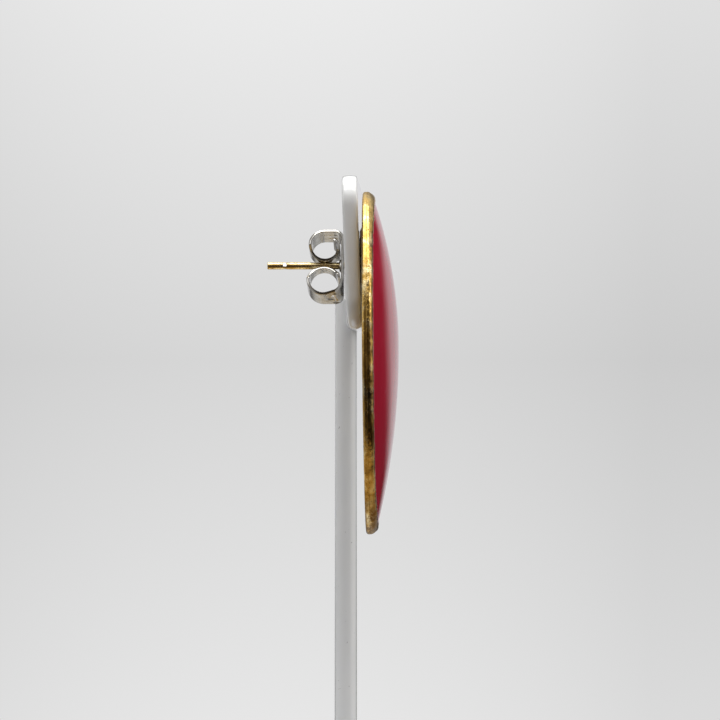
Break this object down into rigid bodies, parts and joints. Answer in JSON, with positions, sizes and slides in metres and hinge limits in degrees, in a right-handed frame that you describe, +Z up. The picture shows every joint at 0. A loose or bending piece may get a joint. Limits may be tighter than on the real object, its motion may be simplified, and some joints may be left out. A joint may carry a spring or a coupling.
{
  "type": "statement earring on display stand",
  "caption": "Oval gilt statement earring with a red domed stone, on a straight post with a butterfly clutch, pinned to a small white T-shaped display stand.",
  "frame": {"origin": "centre of the underside of the stand's round base", "axes": "+X towards the earring's front, +Y along the stand's bar away from the earring, +Z up"},
  "size_m": [0.06, 0.0725, 0.0898],
  "materials": {
    "white_plastic": "glossy moulded",
    "gilt_metal": "worn gilt plating",
    "red_stone": "polished deep crimson",
    "silver_metal": "bright rolled sheet"
  },
  "bodies": {
    "display": {"stand_base": "white_plastic", "stand_stem": "white_plastic", "stand_bar": "white_plastic", "back_plate": "gilt_metal", "bezel": "gilt_metal", "post": "gilt_metal", "stone": "red_stone"},
    "clutch_body": {"clutch": "silver_metal"}
  },
  "joints": [
    {"name": "clutch_slide", "type": "slide", "parent": "display", "child": "clutch_body", "axis": [-1, 0, 0], "range_m": [0, 0.006]}
  ]
}
